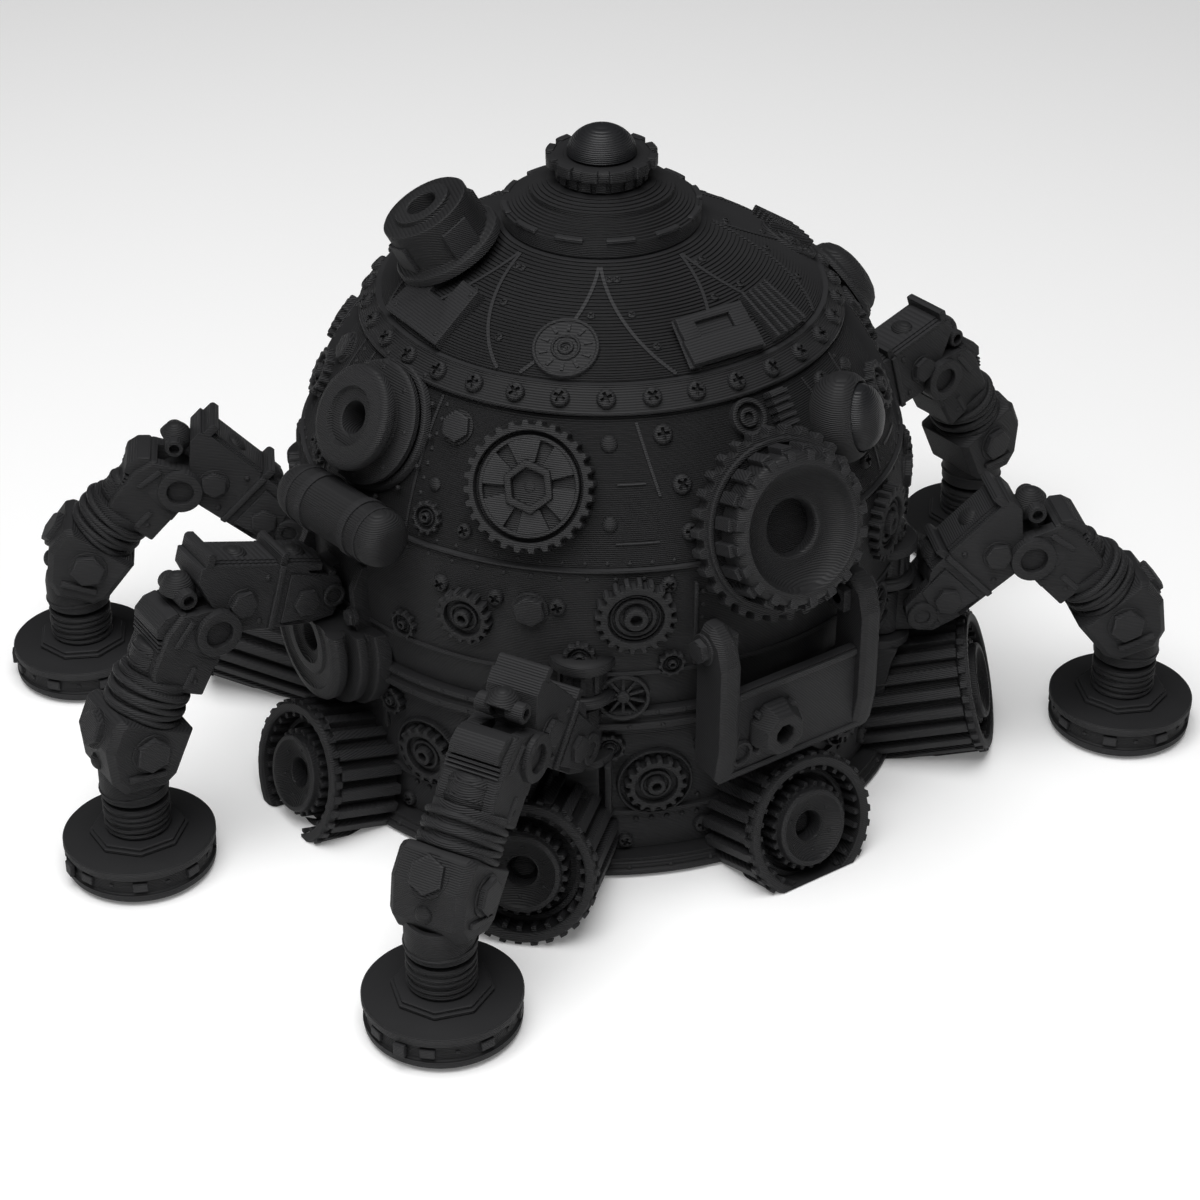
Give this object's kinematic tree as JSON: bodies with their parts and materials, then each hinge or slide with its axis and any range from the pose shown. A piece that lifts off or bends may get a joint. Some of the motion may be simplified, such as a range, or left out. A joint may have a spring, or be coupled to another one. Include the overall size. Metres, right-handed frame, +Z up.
{
  "type": "hexapod spider robot",
  "caption": "Domed walking robot on six four-jointed legs with round feet, geared drums round its hull, a drive wheel, a fan and a tilting front scoop.",
  "frame": {"origin": "centre of the belly plate's underside, on the ground under the body's axis", "axes": "+Z up, -Y the way the robot faces, +X its left side"},
  "size_m": [0.4102, 0.2914, 0.22],
  "materials": {
    "charcoal": "matte, fine layered surface",
    "graphite": "satin, fine layered surface",
    "smoked_lens": "semi-gloss",
    "cell_blue": "shrink wrap",
    "board_green": "solder mask"
  },
  "bodies": {
    "body": {"belly_plate": "charcoal", "lower_hull": "charcoal", "gear_deck_shell": "charcoal", "dome_shell": "charcoal", "screw_band": "charcoal", "dome_cap": "charcoal", "top_collar": "charcoal", "fan_ring": "charcoal", "upper_port": "charcoal", "side_tank": "charcoal", "headlamp_housing": "charcoal", "headlamp_lens": "smoked_lens", "sensor_dome": "charcoal", "top_nozzle": "charcoal", "front_hatch": "charcoal", "middle_left_hip_boss": "charcoal", "middle_right_hip_boss": "charcoal", "battery_pack": "cell_blue", "control_board": "board_green", "servo_frame": "graphite"},
    "cupola": {"cupola_ring": "graphite", "cupola_lens": "smoked_lens"},
    "fan": {"fan_rotor": "graphite"},
    "drive_wheel": {"front_sprocket": "charcoal", "front_wheel": "graphite"},
    "scoop": {"front_scoop": "charcoal"},
    "hub_1": {"drum_hub_1": "graphite"},
    "hub_2": {"drum_hub_2": "graphite"},
    "hub_3": {"drum_hub_3": "graphite"},
    "hub_4": {"drum_hub_4": "graphite"},
    "hub_5": {"drum_hub_5": "graphite"},
    "hub_6": {"drum_hub_6": "graphite"},
    "hub_7": {"drum_hub_7": "graphite"},
    "hub_8": {"drum_hub_8": "graphite"},
    "front_left_hip": {"front_left_coxa": "graphite"},
    "front_left_thigh": {"front_left_femur": "charcoal"},
    "front_left_shin": {"front_left_tibia": "charcoal"},
    "front_left_pad": {"front_left_foot": "charcoal"},
    "middle_left_hip": {"middle_left_coxa": "graphite"},
    "middle_left_thigh": {"middle_left_femur": "charcoal"},
    "middle_left_shin": {"middle_left_tibia": "charcoal"},
    "middle_left_pad": {"middle_left_foot": "charcoal"},
    "rear_left_hip": {"rear_left_coxa": "graphite"},
    "rear_left_thigh": {"rear_left_femur": "charcoal"},
    "rear_left_shin": {"rear_left_tibia": "charcoal"},
    "rear_left_pad": {"rear_left_foot": "charcoal"},
    "rear_right_hip": {"rear_right_coxa": "graphite"},
    "rear_right_thigh": {"rear_right_femur": "charcoal"},
    "rear_right_shin": {"rear_right_tibia": "charcoal"},
    "rear_right_pad": {"rear_right_foot": "charcoal"},
    "middle_right_hip": {"middle_right_coxa": "graphite"},
    "middle_right_thigh": {"middle_right_femur": "charcoal"},
    "middle_right_shin": {"middle_right_tibia": "charcoal"},
    "middle_right_pad": {"middle_right_foot": "charcoal"},
    "front_right_hip": {"front_right_coxa": "graphite"},
    "front_right_thigh": {"front_right_femur": "charcoal"},
    "front_right_shin": {"front_right_tibia": "charcoal"},
    "front_right_pad": {"front_right_foot": "charcoal"}
  },
  "joints": [
    {"name": "cupola_turn", "type": "hinge", "parent": "body", "child": "cupola", "pos_m": [0, 0, 0.202], "axis": [0, 0, 1], "continuous": true},
    {"name": "fan_spin", "type": "hinge", "parent": "body", "child": "fan", "pos_m": [-0.06891, -0.06054, 0.13795], "axis": [-0.6658, -0.5849, 0.4633], "continuous": true},
    {"name": "wheel_spin", "type": "hinge", "parent": "body", "child": "drive_wheel", "pos_m": [-0.00395, -0.09847, 0.12164], "axis": [-0.0382, -0.9514, 0.3057], "continuous": true},
    {"name": "scoop_tilt", "type": "hinge", "parent": "body", "child": "scoop", "pos_m": [-0.0045, -0.107, 0.091], "axis": [1, 0, 0], "range_deg": [-22, 0]},
    {"name": "hub_1_spin", "type": "hinge", "parent": "body", "child": "hub_1", "pos_m": [0.1208, 0, 0.0178], "axis": [0.9659, 0, 0.2588], "continuous": true},
    {"name": "hub_2_spin", "type": "hinge", "parent": "body", "child": "hub_2", "pos_m": [0.09367, 0.09617, 0.024], "axis": [0.683, 0.683, 0.2588], "continuous": true},
    {"name": "hub_3_spin", "type": "hinge", "parent": "body", "child": "hub_3", "pos_m": [-0.0025, 0.1233, 0.0178], "axis": [0, 0.9659, 0.2588], "continuous": true},
    {"name": "hub_4_spin", "type": "hinge", "parent": "body", "child": "hub_4", "pos_m": [-0.09867, 0.09617, 0.024], "axis": [-0.683, 0.683, 0.2588], "continuous": true},
    {"name": "hub_5_spin", "type": "hinge", "parent": "body", "child": "hub_5", "pos_m": [-0.1258, 0, 0.0178], "axis": [-0.9659, 0, 0.2588], "continuous": true},
    {"name": "hub_6_spin", "type": "hinge", "parent": "body", "child": "hub_6", "pos_m": [-0.09867, -0.09617, 0.024], "axis": [-0.683, -0.683, 0.2588], "continuous": true},
    {"name": "hub_7_spin", "type": "hinge", "parent": "body", "child": "hub_7", "pos_m": [-0.0025, -0.1233, 0.0178], "axis": [0, -0.9659, 0.2588], "continuous": true},
    {"name": "hub_8_spin", "type": "hinge", "parent": "body", "child": "hub_8", "pos_m": [0.09367, -0.09617, 0.024], "axis": [0.683, -0.683, 0.2588], "continuous": true},
    {"name": "front_left_hip_yaw", "type": "hinge", "parent": "body", "child": "front_left_hip", "pos_m": [0.06188, -0.07779, 0.047], "axis": [0, 0, 1], "range_deg": [-10, 10]},
    {"name": "front_left_hip_lift", "type": "hinge", "parent": "front_left_hip", "child": "front_left_thigh", "pos_m": [0.07262, -0.08315, 0.057], "axis": [-0.4463, -0.8949, 0], "range_deg": [-4, 12]},
    {"name": "front_left_knee", "type": "hinge", "parent": "front_left_thigh", "child": "front_left_shin", "pos_m": [0.10561, -0.0996, 0.07711], "axis": [-0.4463, -0.8949, 0], "range_deg": [-4, 12]},
    {"name": "front_left_ankle", "type": "hinge", "parent": "front_left_shin", "child": "front_left_pad", "pos_m": [0.14157, -0.11753, 0.0335], "axis": [-0.4463, -0.8949, 0], "range_deg": [-8, 8]},
    {"name": "middle_left_hip_yaw", "type": "hinge", "parent": "body", "child": "middle_left_hip", "pos_m": [0.09691, 0.00423, 0.0745], "axis": [0, 0, 1], "range_deg": [-10, 10]},
    {"name": "middle_left_hip_lift", "type": "hinge", "parent": "middle_left_hip", "child": "middle_left_thigh", "pos_m": [0.1089, 0.00475, 0.0845], "axis": [0.0436, -0.999, 0], "range_deg": [-4, 22]},
    {"name": "middle_left_knee", "type": "hinge", "parent": "middle_left_thigh", "child": "middle_left_shin", "pos_m": [0.15085, 0.00659, 0.08505], "axis": [0.0436, -0.999, 0], "range_deg": [-8, 4]},
    {"name": "middle_left_ankle", "type": "hinge", "parent": "middle_left_shin", "child": "middle_left_pad", "pos_m": [0.18013, 0.00786, 0.0335], "axis": [0.0436, -0.999, 0], "range_deg": [-8, 8]},
    {"name": "rear_left_hip_yaw", "type": "hinge", "parent": "body", "child": "rear_left_hip", "pos_m": [0.06475, 0.08228, 0.047], "axis": [0, 0, 1], "range_deg": [-10, 10]},
    {"name": "rear_left_hip_lift", "type": "hinge", "parent": "rear_left_hip", "child": "rear_left_thigh", "pos_m": [0.07532, 0.08796, 0.057], "axis": [0.4732, -0.8809, 0], "range_deg": [-4, 12]},
    {"name": "rear_left_knee", "type": "hinge", "parent": "rear_left_thigh", "child": "rear_left_shin", "pos_m": [0.10774, 0.10537, 0.07724], "axis": [0.4732, -0.8809, 0], "range_deg": [-4, 12]},
    {"name": "rear_left_ankle", "type": "hinge", "parent": "rear_left_shin", "child": "rear_left_pad", "pos_m": [0.14302, 0.12432, 0.0335], "axis": [0.4732, -0.8809, 0], "range_deg": [-8, 8]},
    {"name": "rear_right_hip_yaw", "type": "hinge", "parent": "body", "child": "rear_right_hip", "pos_m": [-0.06475, 0.08228, 0.047], "axis": [0, 0, 1], "range_deg": [-10, 10]},
    {"name": "rear_right_hip_lift", "type": "hinge", "parent": "rear_right_hip", "child": "rear_right_thigh", "pos_m": [-0.07532, 0.08796, 0.057], "axis": [0.4732, 0.8809, 0], "range_deg": [-4, 12]},
    {"name": "rear_right_knee", "type": "hinge", "parent": "rear_right_thigh", "child": "rear_right_shin", "pos_m": [-0.10774, 0.10537, 0.07724], "axis": [0.4732, 0.8809, 0], "range_deg": [-4, 12]},
    {"name": "rear_right_ankle", "type": "hinge", "parent": "rear_right_shin", "child": "rear_right_pad", "pos_m": [-0.14302, 0.12432, 0.0335], "axis": [0.4732, 0.8809, 0], "range_deg": [-8, 8]},
    {"name": "middle_right_hip_yaw", "type": "hinge", "parent": "body", "child": "middle_right_hip", "pos_m": [-0.09691, 0.00423, 0.0745], "axis": [0, 0, 1], "range_deg": [-10, 10]},
    {"name": "middle_right_hip_lift", "type": "hinge", "parent": "middle_right_hip", "child": "middle_right_thigh", "pos_m": [-0.1089, 0.00475, 0.0845], "axis": [0.0436, 0.999, 0], "range_deg": [-4, 22]},
    {"name": "middle_right_knee", "type": "hinge", "parent": "middle_right_thigh", "child": "middle_right_shin", "pos_m": [-0.15085, 0.00659, 0.08505], "axis": [0.0436, 0.999, 0], "range_deg": [-8, 4]},
    {"name": "middle_right_ankle", "type": "hinge", "parent": "middle_right_shin", "child": "middle_right_pad", "pos_m": [-0.18013, 0.00786, 0.0335], "axis": [0.0436, 0.999, 0], "range_deg": [-8, 8]},
    {"name": "front_right_hip_yaw", "type": "hinge", "parent": "body", "child": "front_right_hip", "pos_m": [-0.06188, -0.07779, 0.047], "axis": [0, 0, 1], "range_deg": [-10, 10]},
    {"name": "front_right_hip_lift", "type": "hinge", "parent": "front_right_hip", "child": "front_right_thigh", "pos_m": [-0.07262, -0.08315, 0.057], "axis": [-0.4463, 0.8949, 0], "range_deg": [-4, 12]},
    {"name": "front_right_knee", "type": "hinge", "parent": "front_right_thigh", "child": "front_right_shin", "pos_m": [-0.10561, -0.0996, 0.07711], "axis": [-0.4463, 0.8949, 0], "range_deg": [-4, 12]},
    {"name": "front_right_ankle", "type": "hinge", "parent": "front_right_shin", "child": "front_right_pad", "pos_m": [-0.14157, -0.11753, 0.0335], "axis": [-0.4463, 0.8949, 0], "range_deg": [-8, 8]}
  ]
}
